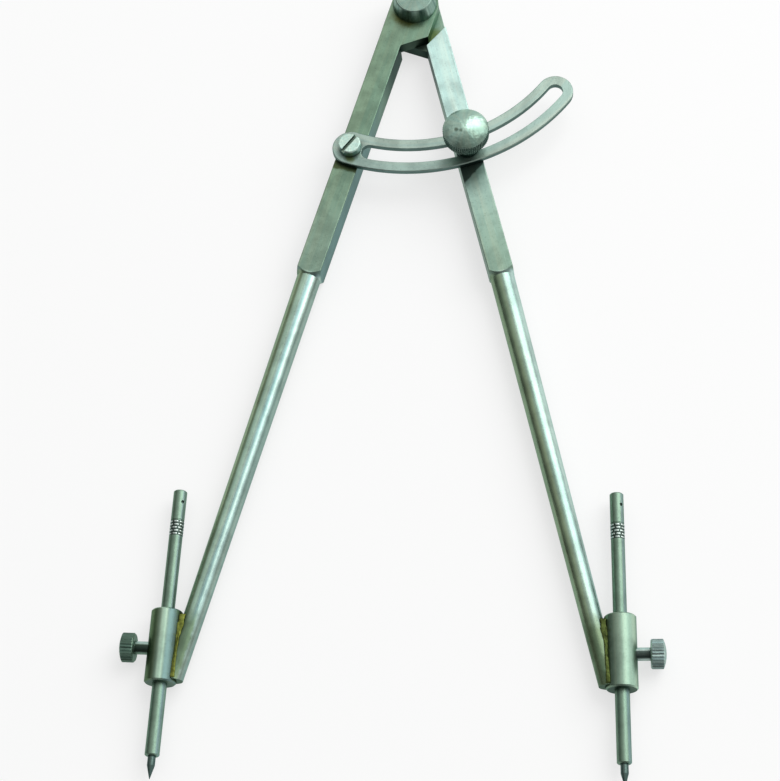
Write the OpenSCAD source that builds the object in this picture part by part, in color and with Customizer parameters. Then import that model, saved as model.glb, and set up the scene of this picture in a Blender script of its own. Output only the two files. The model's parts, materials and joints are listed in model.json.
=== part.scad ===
// Hinged divider with a slotted wing arc and two adjustable carbide scribers.
// It lies flat on its back. The hinge axis is Z, both feet point to -Y, +X is
// to the right, and Z = 0 is the plane of the bars' back faces.

/* [Bars and hinge] */
// Width of each square bar, seen from the front
bar_w = 10; // [8:0.5:14]
// Thickness of each bar, front to back
bar_t = 11; // [9:0.5:14]
// Distance from the hinge axis to the end of the bar, where the round rod starts
bar_len = 134; // [110:1:160]
// Angle between the two bars as the divider lies
opening = 30; // [20:1:50]
// Slant of the lapped cheeks and of the shoulders that they close against
shoulder_slant = 35; // [30:1:40]
// Room between a closed cheek and the shoulder of the other bar
lap_gap = 0.3; // [0.2:0.05:0.6]
// Broken edges along the bars
bar_chamfer = 0.2; // [0.1:0.1:1]
// Diameter of the hinge screw's plain shank
hinge_d = 6; // [5:0.5:8]
// Diameter of the hinge screw's conical head at its base
hinge_head_d = 18.6; // [16:0.2:19.8]
// Height of the hinge screw's head
hinge_head_h = 6.8; // [4:0.1:9]
// How much smaller in radius the head's face is than its base
hinge_taper = 1.3; // [0.4:0.1:2.5]

/* [Round rods] */
// How much thinner the rod's top is than the bar is wide
rod_shy = 0.1; // [0.1:0.1:2]
// How much thinner the rod's cut end is than its top
rod_taper_by = 2; // [0:0.1:3]
// Angle by which the rod leans inward from the line of its bar
rod_lean = 0.8; // [0:0.1:2]

/* [Feet] */
// Distance from the hinge axis to the middle of the sleeve, along the bar
foot_u = 297; // [260:1:340]
// Angle between the sleeve and the bar, which sets the scriber nearly upright
scriber_lean = 13.5; // [11:0.5:15]
// Outer diameter of the sleeve
sleeve_d = 12.2; // [11:0.2:14]
// Length of the sleeve
sleeve_len = 28.6; // [24:0.2:34]
// Bevel on the outer rims of the sleeve
sleeve_bevel = 0.5; // [0.2:0.1:1]
// Gap between rod and sleeve at the sleeve's upper rim
crotch_gap = 0.5; // [0.2:0.1:1]
// Width of the braze fillet beside the sleeve
braze_w = 1.2; // [0.8:0.1:2]
// Height of the braze fillet above the rod
braze_proud = 0.45; // [0.2:0.05:1]
// Height of the braze between rod and sleeve, as a share of the rod's radius at its end
braze_fill = 0.92; // [0.7:0.02:0.96]
// Room between the cut rod and the sleeve, filled with braze
braze_film = 0.15; // [0.1:0.05:0.3]

/* [Scribers] */
// Diameter of the scriber shank in and below the sleeve
shank_d = 5.6; // [4.5:0.1:6.5]
// How much thinner the shank is above the sleeve
shank_step = 0.3; // [0.1:0.1:0.8]
// Length of the shank above the middle of the sleeve
shank_above = 63.6; // [45:0.2:80]
// Length of the shank below the middle of the sleeve
shank_below = 42.3; // [30:0.1:60]
// Diameter of the carbide tip
tip_d = 3; // [2:0.1:3.6]
// Length of the carbide tip outside the shank
tip_out = 8.7; // [6:0.1:12]
// Length of the ground point
tip_cone = 5.1; // [3:0.1:5.5]
// Running room round the shank in its sleeve
slide_clear = 0.05; // [0.02:0.01:0.1]

/* [Thumb screws] */
// Diameter of the knurled head
thumb_d = 11.3; // [9:0.1:13]
// Length of the knurled rim
thumb_rim = 4.7; // [3:0.1:7]
// Rise of the domed outer face
thumb_dome = 1.2; // [0.6:0.1:2]
// Diameter of the threaded shank
thumb_shank_d = 5; // [4:0.5:6]
// Gap between the sleeve and the head
thumb_gap = 4.9; // [2:0.1:7]
// How far the thumb screw sits below the middle of the sleeve
thumb_below = 0.6; // [0:0.1:2]
// Number of knurl teeth
thumb_teeth = 28; // [20:1:36]

/* [Wing arc] */
// Radius of the middle of the slot, about the hinge axis
arc_r = 75; // [65:1:90]
// Width of the arc across both rails
arc_w = 15; // [13:0.5:18]
// Thickness of the arc
arc_t = 2.5; // [2:0.1:4]
// Width of the slot
slot_w = 6.6; // [6.4:0.1:8]
// Angle of the slot's first end, from the inner face of the left bar
slot_from = 2.4; // [1.5:0.1:3]
// Angle of the slot's last end, from the inner face of the left bar
slot_to = 68; // [60:1:90]
// Broken edges of the arc
arc_chamfer = 0.3; // [0.1:0.1:0.6]

/* [Arc screw and clamp nut] */
// Diameter of the slotted screw head that fixes the arc to the left bar
arc_screw_d = 9.2; // [8:0.2:9.4]
// Height of the slotted screw head
arc_screw_h = 3.9; // [3:0.1:5]
// Direction of the driver slot, from +X
driver_slot_dir = 53; // [0:1:90]
// Diameter of the stud in the right bar
stud_d = 6; // [5:0.2:6]
// Diameter of the nut's knurled head
nut_d = 18.8; // [16:0.2:21]
// Diameter of the nut's neck
nut_neck_d = 10.4; // [9:0.2:10.6]
// Height of the neck below the knurled head
nut_neck_h = 9; // [6:0.5:12]
// Height of the knurled rim
nut_rim_h = 5; // [3:0.2:7]
// Rise of the nut's dome
nut_dome = 3.4; // [2:0.2:4]
// Number of knurl teeth on the nut
nut_teeth = 70; // [50:1:80]

/* [Hidden] */
$fn = 96;

// running room of a turning screw or shank in its bore
turn_clear = 0.05;
// extra length by which a cutting tool passes the face that it cuts
over = 1;
// the arc's round ends are this much narrower and thinner than its rails
hair = 0.02;

half_open = opening / 2;
mid_z = bar_t / 2;
arc_back = bar_t;
arc_front = bar_t + arc_t;

// the slanted edge is square to the radius at its outer end, so a cheek
// swings clear of the shoulder as the legs open
shoulder_tip = bar_w / tan(shoulder_slant);
shoulder_root = shoulder_tip + bar_w * tan(shoulder_slant);
// how far down the bar a stud or screw on the bar's middle line lies
fixing_u = sqrt(arc_r * arc_r - bar_w * bar_w / 4);
fixing_angle = asin(bar_w / 2 / arc_r);

rod_top_r = (bar_w - rod_shy) / 2;
rod_end_r = rod_top_r - rod_taper_by / 2;
// the bar's cone runs on inside the rod by this much
cone_sink = 0.5;
cone_r = rod_top_r - cone_sink;
rod_len = foot_u + sleeve_len / 2 - bar_len;
sleeve_r = sleeve_d / 2;
// the rod's outer edge beside the sleeve's upper rim sets how far out the foot sits
rim_u = foot_u - sleeve_len / 2 * cos(scriber_lean) - sleeve_r * sin(scriber_lean);
rod_r_at_rim = rod_top_r - (rod_top_r - rod_end_r) * (rim_u - bar_len) / rod_len;
rod_edge_v = bar_w / 2 - (rim_u - bar_len) * tan(rod_lean) + rod_r_at_rim;
foot_v = rod_edge_v + crotch_gap + sleeve_r * cos(scriber_lean)
         - sleeve_len / 2 * sin(scriber_lean);
// the rod is cut off square to the sleeve, a little above its lower rim,
// and the braze runs from a little below the upper rim to a little above the cut
rod_cut_back = 1.2;
braze_back = 1.4;
braze_lip = 0.4;
rod_cut = sleeve_len / 2 - rod_cut_back;
braze_start = braze_back - sleeve_len / 2;
braze_end = rod_cut - braze_lip;

shank_r = shank_d / 2;
shank_top_r = shank_r - shank_step / 2;
shank_bevel = 0.4;
ring_depth = 0.15;
ring_w = 0.6;
ring_below_top = 12.2;
dimple_d = 1.3;
dimple_below_top = 5;
dimple_turn = 40;
tip_r = tip_d / 2;
tip_in = 6;
tip_end_r = 0.12;

knurl_depth = 0.35;
thumb_tip_gap = 0.2;
thumb_inner = sleeve_r + thumb_gap;
driver_slot_w = 1.5;
driver_slot_depth = 1.6;
arc_screw_shank_d = 5;
arc_screw_depth = 8;
arc_screw_bevel = 0.4;
// the stud ends inside the nut, below a little free depth of its blind hole
nut_roof = 2;
nut_free = 0.5;
stud_up = nut_neck_h + nut_rim_h - nut_roof;
nut_hole = stud_up + nut_free;
nut_bevel = 0.5;
// the hinge screw's head has a short upright rim and a broken edge round its face
hinge_rim = 0.5;
hinge_bevel = 0.3;

steel = [0.60, 0.66, 0.63];
bright_steel = [0.70, 0.75, 0.73];
dark_steel = [0.36, 0.42, 0.39];
braze_brass = [0.45, 0.42, 0.16];
carbide = [0.25, 0.25, 0.24];

// a leg's own frame: its inner face is X = 0, outward is +X, down the leg is -Y
module on_right() {
    rotate([0, 0, half_open]) children();
}

module on_left() {
    mirror([1, 0, 0]) on_right() children();
}

// the scriber's line in the leg's frame: +Z towards the point, +X outward, +Y to the front
module on_scriber() {
    translate([foot_v, -foot_u, mid_z])
        rotate([0, 0, -scriber_lean])
            rotate([90, 0, 0])
                children();
}

// a round bar with bevelled rims, standing on Z = 0
module turned(d, h, bevel) {
    r = d / 2;
    rotate_extrude()
        polygon([[0, 0], [r - bevel, 0], [r, bevel], [r, h - bevel], [r - bevel, h], [0, h]]);
}

// the outline of a straight-knurled rim
function knurl_points(d, teeth) =
    [for (i = [0 : 2 * teeth - 1])
        let (r = d / 2 - (i % 2) * knurl_depth, a = i * 180 / teeth)
        [r * cos(a), r * sin(a)]];

// a straight-knurled head with a domed end, standing on Z = 0
module knurled_head(d, rim, dome, teeth, bevel) {
    ball_r = (d * d / 4 + dome * dome) / (2 * dome);
    intersection() {
        linear_extrude(rim + dome + over) polygon(knurl_points(d, teeth));
        translate([0, 0, rim + dome - ball_r]) sphere(ball_r, $fn = 160);
        cylinder(h = d, r1 = d / 2 - bevel, r2 = d / 2 - bevel + d);
    }
}

// the bar's flat outline below the shoulder
module bar_outline() {
    polygon([[0, -shoulder_root], [bar_w, -shoulder_tip], [bar_w, -bar_len], [0, -bar_len]]);
}

// the lapped cheek with its round top, reaching across to the other bar
module cheek_outline() {
    circle(bar_w);
    polygon([[-bar_w, 0], [-bar_w, lap_gap - shoulder_tip], [0, lap_gap - shoulder_root],
             [0, -shoulder_root - over], [bar_w, -shoulder_tip - over], [bar_w, 0]]);
}

// the bar's section with broken edges, seen along the bar
module bar_section() {
    c = bar_chamfer;
    polygon([[c, 0], [bar_w - c, 0], [bar_w, c], [bar_w, bar_t - c],
             [bar_w - c, bar_t], [c, bar_t], [0, bar_t - c], [0, c]]);
}

// the bar, turned down by a 45 degree cone where the rod starts
module bar_body() {
    intersection() {
        linear_extrude(bar_t) bar_outline();
        rotate([90, 0, 0]) linear_extrude(bar_len) bar_section();
        translate([bar_w / 2, -bar_len, mid_z])
            rotate([-90, 0, 0])
                cylinder(h = bar_len, r1 = cone_r, r2 = cone_r + bar_len);
    }
}

// the rod's line in the leg's frame: +Z down the rod, +X outward, +Y to the front
module on_rod() {
    translate([bar_w / 2, -bar_len, mid_z])
        rotate([0, 0, -rod_lean])
            rotate([90, 0, 0])
                children();
}

// the tapered rod before it is cut to meet the sleeve
module rod_taper(extra) {
    on_rod() translate([0, 0, -over])
        cylinder(h = rod_len + over, r1 = rod_top_r + extra, r2 = rod_end_r + extra);
}

// all that lies past a cut square to the scriber
module past_cut(z) {
    on_scriber() translate([0, 0, z]) cylinder(h = rod_len, d = rod_len);
}

// the rod, hollowed along the sleeve's side and cut off above its lower rim
module rod_body() {
    difference() {
        rod_taper(0);
        on_scriber() cylinder(h = 4 * sleeve_len, r = sleeve_r + braze_film, center = true);
        past_cut(rod_cut);
    }
}

// one leg in its own frame, with the bores of the hinge and of the arc's fixing
module leg(cheek_z, fixing_d, fixing_from) {
    difference() {
        union() {
            translate([0, 0, cheek_z]) linear_extrude(mid_z) cheek_outline();
            bar_body();
            rod_body();
        }
        translate([0, 0, -over]) cylinder(h = bar_t + 2 * over, d = hinge_d + 2 * turn_clear);
        translate([bar_w / 2, -fixing_u, fixing_from]) cylinder(h = 2 * bar_t, d = fixing_d);
    }
}

module left_leg() {
    color(steel) on_left() leg(mid_z, arc_screw_shank_d, bar_t - arc_screw_depth);
}

module right_leg() {
    color(steel) on_right() leg(0, stud_d, -over);
}

module sleeve() {
    on_scriber() difference() {
        translate([0, 0, -sleeve_len / 2]) turned(sleeve_d, sleeve_len, sleeve_bevel);
        cylinder(h = 2 * sleeve_len, d = shank_d + 2 * slide_clear, center = true);
        translate([0, 0, thumb_below])
            rotate([0, 90, 0]) cylinder(h = sleeve_d, d = thumb_shank_d + 2 * turn_clear);
    }
}

module left_sleeve() {
    color(steel) on_left() sleeve();
}

module right_sleeve() {
    color(steel) on_right() sleeve();
}

// the fillet along the seam of rod and sleeve
module seam_fillet() {
    intersection() {
        rod_taper(braze_proud);
        on_scriber() cylinder(h = 4 * sleeve_len, r = sleeve_r + braze_w, center = true);
    }
}

// the block that fills the widening gap between rod and sleeve
module gap_filler() {
    rise = braze_fill * rod_end_r;
    reach = rod_r_at_rim + crotch_gap + sleeve_r / 3;
    on_rod() translate([0, -rise, 0]) cube([reach, 2 * rise, rod_len]);
}

// the braze, which stops short of the sleeve's upper rim and of the rod's cut
module braze() {
    difference() {
        intersection() {
            union() {
                seam_fillet();
                gap_filler();
            }
            on_scriber() translate([0, 0, braze_start])
                cylinder(h = braze_end - braze_start, r = 2 * sleeve_d);
        }
        rod_body();
        on_scriber() cylinder(h = 4 * sleeve_len, r = sleeve_r, center = true);
    }
}

module left_braze() {
    color(braze_brass) on_left() braze();
}

module right_braze() {
    color(braze_brass) on_right() braze();
}

// the scriber shank, with a ring groove and a dimple near its top
module shank(dimple_side) {
    ring = -shank_above + ring_below_top;
    on_scriber() difference() {
        rotate_extrude()
            polygon([[0, -shank_above], [shank_top_r - shank_bevel, -shank_above],
                     [shank_top_r, -shank_above + shank_bevel], [shank_top_r, ring],
                     [shank_top_r - ring_depth, ring], [shank_top_r - ring_depth, ring + ring_w],
                     [shank_top_r, ring + ring_w], [shank_top_r, 0], [shank_r, shank_step],
                     [shank_r, shank_below - shank_bevel], [shank_r - shank_bevel, shank_below],
                     [tip_r, shank_below], [tip_r, shank_below - tip_in],
                     [0, shank_below - tip_in]]);
        translate([0, 0, dimple_below_top - shank_above])
            rotate([0, 0, dimple_side * dimple_turn])
                rotate([-90, 0, 0])
                    translate([0, 0, shank_top_r - dimple_d / 2])
                        cylinder(h = dimple_d, d = dimple_d);
    }
}

module left_shank() {
    color(bright_steel) on_left() shank(1);
}

module right_shank() {
    color(bright_steel) on_right() shank(-1);
}

// the carbide tip, seated in the shank's end and ground to a point
module tip() {
    on_scriber() rotate_extrude()
        polygon([[0, shank_below - tip_in], [tip_r, shank_below - tip_in],
                 [tip_r, shank_below + tip_out - tip_cone],
                 [tip_end_r, shank_below + tip_out], [0, shank_below + tip_out]]);
}

module left_tip() {
    color(carbide) on_left() tip();
}

module right_tip() {
    color(carbide) on_right() tip();
}

// the thumb screw points outward and its end stops just short of the shank
module thumb_screw() {
    inner_end = shank_r + thumb_tip_gap;
    on_scriber() translate([0, 0, thumb_below]) rotate([0, 90, 0]) {
        translate([0, 0, inner_end])
            cylinder(h = thumb_inner - inner_end + over, d = thumb_shank_d);
        translate([0, 0, thumb_inner])
            knurled_head(thumb_d, thumb_rim, thumb_dome, thumb_teeth, nut_bevel);
    }
}

module left_thumb_screw() {
    color(dark_steel) on_left() thumb_screw();
}

module right_thumb_screw() {
    color(dark_steel) on_right() thumb_screw();
}

// turns from the inner face of the left bar to an angle along the arc
module at_arc(angle) {
    rotate([0, 0, angle - half_open]) children();
}

// a wedge about the hinge between two angles of the arc
module arc_wedge(from, to, height) {
    reach = 2 * arc_r;
    mid = (to - from) / 2;
    end = to - from;
    at_arc(from) linear_extrude(height)
        polygon([[0, 0], [0, -reach], [reach * sin(mid), -reach * cos(mid)],
                 [reach * sin(end), -reach * cos(end)]]);
}

// a flat ring with broken edges about the hinge
module plate_ring() {
    a = arc_r - arc_w / 2;
    b = arc_r + arc_w / 2;
    c = arc_chamfer;
    rotate_extrude($fn = 240)
        polygon([[a + c, 0], [b - c, 0], [b, c], [b, arc_t - c],
                 [b - c, arc_t], [a + c, arc_t], [a, arc_t - c], [a, c]]);
}

// the ring between the slot's two walls
module slot_ring(height) {
    difference() {
        cylinder(h = height, r = arc_r + slot_w / 2, $fn = 240);
        cylinder(h = height, r = arc_r - slot_w / 2, $fn = 240);
    }
}

// moves to a point on the arc's middle line
module on_arc(angle) {
    at_arc(angle) translate([0, -arc_r, 0]) children();
}

// the slotted arc, screwed to the left bar and swept across the right one
module wing_arc() {
    lug = -fixing_angle;
    deep = arc_t + 2 * over;
    color(steel) translate([0, 0, arc_back]) difference() {
        union() {
            intersection() {
                plate_ring();
                arc_wedge(lug, slot_to, arc_t);
            }
            for (end = [lug, slot_to])
                on_arc(end) translate([0, 0, hair / 2])
                    turned(arc_w - hair, arc_t - hair, arc_chamfer);
        }
        translate([0, 0, -over]) {
            intersection() {
                slot_ring(deep);
                arc_wedge(slot_from, slot_to, deep);
            }
            on_arc(slot_from) cylinder(h = deep, d = slot_w - hair);
            on_arc(slot_to) cylinder(h = deep, d = slot_w - hair);
            on_arc(lug) cylinder(h = deep, d = arc_screw_shank_d);
        }
    }
}

module arc_screw() {
    spot = -fixing_angle;
    color(bright_steel) on_arc(spot) difference() {
        union() {
            translate([0, 0, bar_t - arc_screw_depth])
                cylinder(h = arc_screw_depth + arc_t + over, d = arc_screw_shank_d);
            translate([0, 0, arc_front]) turned(arc_screw_d, arc_screw_h, arc_screw_bevel);
        }
        translate([0, 0, arc_front + arc_screw_h])
            rotate([0, 0, driver_slot_dir - spot + half_open])
                cube([2 * arc_screw_d, driver_slot_w, 2 * driver_slot_depth], center = true);
    }
}

// moves to the stud's place on the right bar
module at_stud() {
    on_right() translate([bar_w / 2, -fixing_u, 0]) children();
}

module clamp_stud() {
    color(steel) at_stud() cylinder(h = arc_front + stud_up, d = stud_d);
}

// the high nut: its neck clears the arc screw when the legs are closed
module clamp_nut() {
    color(bright_steel) at_stud() translate([0, 0, arc_front]) difference() {
        union() {
            cylinder(h = nut_neck_h + over, d = nut_neck_d);
            translate([0, 0, nut_neck_h])
                knurled_head(nut_d, nut_rim_h, nut_dome, nut_teeth, nut_bevel);
        }
        translate([0, 0, -over]) cylinder(h = nut_hole + over, d = stud_d + 2 * turn_clear);
    }
}

// the hinge screw with its plain conical head, flush at the back
module hinge_screw() {
    head_r = hinge_head_d / 2;
    face_r = head_r - hinge_taper;
    top = bar_t + hinge_head_h;
    color(dark_steel) rotate_extrude()
        polygon([[0, 0], [hinge_d / 2, 0], [hinge_d / 2, bar_t], [head_r, bar_t],
                 [head_r, bar_t + hinge_rim], [face_r, top - hinge_bevel],
                 [face_r - hinge_bevel, top], [0, top]]);
}

left_leg();
right_leg();
left_sleeve();
right_sleeve();
left_braze();
right_braze();
left_shank();
right_shank();
left_tip();
right_tip();
left_thumb_screw();
right_thumb_screw();
wing_arc();
arc_screw();
clamp_stud();
clamp_nut();
hinge_screw();
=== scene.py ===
"""Looks of a hinged divider with a slotted wing arc and two carbide scribers.

The file is laid out as an add-on and run as a script. Sizes and colours are properties, each group of
pieces has an operator, and a panel in the sidebar lists them. Lengths are in metres, in the frame of the
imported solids: the divider lies on its back, its hinge axis is Z and its points face -Y.
"""

import json
import math

import bmesh
import bpy
from mathutils import Matrix, Quaternion, Vector, noise


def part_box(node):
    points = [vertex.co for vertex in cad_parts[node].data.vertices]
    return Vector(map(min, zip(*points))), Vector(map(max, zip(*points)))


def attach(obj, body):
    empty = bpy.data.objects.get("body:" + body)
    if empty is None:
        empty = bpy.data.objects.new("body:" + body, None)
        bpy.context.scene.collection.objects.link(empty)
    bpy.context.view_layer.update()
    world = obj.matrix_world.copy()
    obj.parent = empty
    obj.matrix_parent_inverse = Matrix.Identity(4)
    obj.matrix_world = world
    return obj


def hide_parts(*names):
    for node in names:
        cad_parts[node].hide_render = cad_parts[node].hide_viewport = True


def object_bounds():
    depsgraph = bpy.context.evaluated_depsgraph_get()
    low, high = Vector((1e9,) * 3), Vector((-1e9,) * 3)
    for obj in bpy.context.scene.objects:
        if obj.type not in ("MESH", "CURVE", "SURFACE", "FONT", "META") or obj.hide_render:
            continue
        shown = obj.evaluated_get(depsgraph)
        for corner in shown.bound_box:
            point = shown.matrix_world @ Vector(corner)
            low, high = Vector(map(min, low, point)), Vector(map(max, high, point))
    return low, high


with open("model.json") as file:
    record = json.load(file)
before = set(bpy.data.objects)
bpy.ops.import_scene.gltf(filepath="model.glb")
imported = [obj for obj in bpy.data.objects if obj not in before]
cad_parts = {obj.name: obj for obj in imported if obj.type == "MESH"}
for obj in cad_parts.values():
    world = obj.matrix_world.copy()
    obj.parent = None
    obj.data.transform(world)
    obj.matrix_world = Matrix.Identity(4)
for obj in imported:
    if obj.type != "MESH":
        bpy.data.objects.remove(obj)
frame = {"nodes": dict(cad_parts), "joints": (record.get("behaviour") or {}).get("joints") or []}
cad_low, cad_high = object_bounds()

bl_info = {
    "name": "Hinged divider",
    "version": (1, 0, 0),
    "blender": (4, 5, 0),
    "location": "3D View > Sidebar > Divider",
    "description": "Steel finishes, braze beads and grip bands of a hinged divider, with its stage",
    "category": "Object",
}

MM = 0.001
SIDES = {"left": -1, "right": 1}
SEEN_BY = ("Camera", "Glossy", "Transmission")
JOINTS = {joint["name"]: joint for joint in frame["joints"]}
ORIGIN = (0.0, 0.0, 0.0)
UP = (0.0, 0.0, 1.0)
LEFT = (-1.0, 0.0, 0.0)
RIGHT = (1.0, 0.0, 0.0)
FEETWARD = (0.0, -1.0, 0.0)
FLANK_LIMITS = (0.1, 0.75)
EDGE_SAMPLES = 6
CORNER_SAMPLES = 8
GRAZING_TINT = (0.62, 0.74, 0.70, 1.0)


def colour(name, description, default):
    """A colour, in linear light."""
    return bpy.props.FloatVectorProperty(
        name=name, description=description, subtype="COLOR", min=0.0, max=1.0, default=default
    )


def length(name, description, default):
    """A length in metres."""
    return bpy.props.FloatProperty(
        name=name, description=description, subtype="DISTANCE", default=default
    )


def angle(name, description, degrees):
    """An angle, given in degrees."""
    return bpy.props.FloatProperty(
        name=name, description=description, subtype="ANGLE", default=math.radians(degrees)
    )


def factor(name, description, default):
    """A share from 0 to 1."""
    return bpy.props.FloatProperty(
        name=name, description=description, subtype="FACTOR", min=0.0, max=1.0, default=default
    )


def number(name, description, default):
    """A plain number."""
    return bpy.props.FloatProperty(name=name, description=description, default=default)


def count(name, description, default):
    """A whole number."""
    return bpy.props.IntProperty(name=name, description=description, default=default)


class FinishSettings(bpy.types.PropertyGroup):
    """Colours of the metals and the angles that their grain follows."""

    left_steel: colour("Left bar", "Satin steel of the left bar", (0.225, 0.330, 0.230))
    # Painted light: a lit, paler copy of the bar steel, for the right bar and the left bar's lower front
    lit_bar_steel: colour("Right bar", "Paler satin steel of the right bar", (0.272, 0.375, 0.285))
    # Painted highlight: pale steel for the right bar's front near the hinge, stripes on the rods and the top
    # of the thumb screws' shanks
    highlight_steel: colour("Worn bar", "Right bar where it is worn bright near the hinge", (0.59, 0.76, 0.69))
    rod_steel: colour("Rods", "Drawn steel of the round rods", (0.335, 0.450, 0.390))
    # Painted shade: olive tint on the rods' left, away from the light
    rod_shade_tint: colour("Rod tarnish", "Olive tint on the rods' left", (0.335, 0.440, 0.275))
    arc_steel: colour("Arc", "Sheet steel of the slotted arc", (0.375, 0.470, 0.405))
    sleeve_steel: colour("Sleeves", "Turned steel of the sleeves", (0.275, 0.375, 0.285))
    shank_steel: colour("Shanks", "Ground steel of the scriber shanks", (0.205, 0.305, 0.230))
    # Painted highlight on the right of the shanks
    shank_flank: colour("Shank flanks", "Bluish steel on the right of the shanks", (0.270, 0.385, 0.375))
    nut_steel: colour("Nut", "Turned steel of the clamp nut", (0.50, 0.69, 0.57))
    screw_steel: colour("Arc screw", "Bright steel of the slotted screw", (0.67, 0.86, 0.74))
    hinge_steel: colour("Hinge screw", "Polished steel of the hinge screw", (0.32, 0.44, 0.36))
    # Painted light: both thumb screws are one steel; the right one takes a lit, brighter copy of it
    left_thumb: colour("Left thumb screw", "Darkened steel of the left thumb screw", (0.23, 0.335, 0.25))
    right_thumb: colour("Right thumb screw", "Brighter steel of the right thumb screw", (0.50, 0.61, 0.56))
    grip_steel: colour("Grip pads", "Pale worn steel of the grip pads", (0.62, 0.72, 0.67))
    grip_ground: colour("Grip ground", "Darkened ground between the grip pads", (0.055, 0.080, 0.068))
    carbide: colour("Carbide", "Ground carbide of the scriber tips", (0.11, 0.165, 0.145))
    left_braze: colour("Left braze", "Dull braze between left rod and sleeve", (0.150, 0.172, 0.032))
    right_braze: colour("Right braze", "Older, greyer braze of the right leg", (0.062, 0.083, 0.018))
    # Dirt and painted shade: dirt in grooves and corners, and painted shade and shadow on the legs' sides,
    # cheeks and lap, below the arc, on the sleeves' ends and on the thumb screws' shanks
    dirt_and_shade: colour("Grime", "Dirt in grooves and corners", (0.020, 0.032, 0.024))
    # Painted reflection: bluish steel on the left bar's lower sides and a dark line along its rod
    cool_reflection: colour("Cool sides", "Bluish steel on the left bar's lower sides", (0.19, 0.30, 0.29))
    # Painted shade on the side faces of the legs, arc, screws, tips and grip pads
    side_shade: colour("Sides", "Oxide on side faces, as a share of the front's colour", (0.28, 0.36, 0.38))
    # Painted shade on the side faces of the nut and its stud, with dirt in the knurl
    knurl_shade: colour("Knurls", "Dirt in the knurls, as a share of the steel's colour", (0.08, 0.10, 0.10))
    cool_tint: colour("Cool streaks", "Tint of the cooler streaks, as a share", (0.86, 0.94, 0.97))
    # Painted shade: olive on the left of the sleeves and shanks
    left_shade: colour("Left flanks", "Olive tarnish on the sleeves' left", (0.36, 0.43, 0.22))
    # Painted shade on the left sleeve's right, beside the rod
    right_shade: colour("Right flanks", "Cool steel on the left sleeve's right", (0.150, 0.225, 0.205))
    # Painted highlight: bright stripes down the left sleeve and the left rod, and on the right sleeve's
    # right
    painted_stripe_steel: colour("Stripe", "Bright steel rubbed down the left sleeve", (0.50, 0.68, 0.52))
    rust: colour("Stain", "Brown stain beside the hinge screw", (0.125, 0.125, 0.024))
    oil: colour("Oil", "Olive oil stain in the lap and below the arc", (0.16, 0.21, 0.045))
    # Painted shadow under the arc's lug on the left bar
    lug_shadow: colour("Old oil", "Dark oil that seeps from under the arc's lug", (0.055, 0.072, 0.022))
    scale: colour("Scale", "Dull scale where the rods were heated for the braze", (0.165, 0.230, 0.130))
    # Darkened dents, and painted shade on the lower right of the nut's dome
    dent_and_shade: colour("Dents", "Darkened dents in the nut's dome", (0.09, 0.13, 0.09))
    leg_angle: angle("Leg angle", "Angle of each bar from the middle line, which its grain follows", 15)
    scriber_angle: angle("Scriber angle", "Angle of each scriber from the middle line", 1.5)
    edge_radius: length("Edge radius", "Radius to which the edges look worn", 0.25 * MM)
    # The dirt in grooves and corners also stands for painted shade
    groove_reach: length("Groove reach", "Reach of the dirt in grooves and corners", 1.2 * MM)
    # Reach of the painted shade close to other pieces
    shade_reach: length("Shade reach", "Reach of the dirt close to other pieces", 7.0 * MM)
    mark_depth: length("Mark depth", "Depth of the tool marks", 0.010 * MM)


class GripSettings(bpy.types.PropertyGroup):
    """Sizes of the grip band below the ring groove of each scriber."""

    start: length("Start", "Distance from the scriber's top to the first row of pads", 13.2 * MM)
    rows: count("Rows", "Number of rows of pads", 5)
    columns: count("Columns", "Number of pads round the shank", 7)
    pitch: length("Pitch", "Distance from row to row", 1.25 * MM)
    pad_length: length("Pad length", "Length of a pad along the shank", 0.62 * MM)
    cover: factor("Cover", "Share of the way round that the pads of a row take", 0.74)
    height: length("Height", "Height of a pad above the shank", 0.11 * MM)
    root: length("Root", "Depth of a pad's rim below the shank's surface", 0.02 * MM)


class BrazeSettings(bpy.types.PropertyGroup):
    """Sizes of the lumps in the braze."""

    voxel: length("Voxel", "Fineness of the bead's mesh", 0.13 * MM)
    melt_steps: count("Melt steps", "Number of times that the bead's edges are smoothed", 14)
    lump_size: length("Lump size", "Length of one ripple of the bead", 2.2 * MM)
    lump_height: length("Lump height", "Height of the ripples", 0.18 * MM)
    # The dirt in the pits also stands for painted shade
    pit_reach: length("Pit reach", "Reach of the dirt in the bead's pits", 0.8 * MM)
    grain_depth: length("Grain depth", "Depth of the bead's fine grain", 0.06 * MM)
    crown: length("Crown", "Length of the bead's upper end that flowed round", 4.0 * MM)
    crown_steps: count("Crown steps", "Number of times that this end is smoothed", 90)


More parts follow.
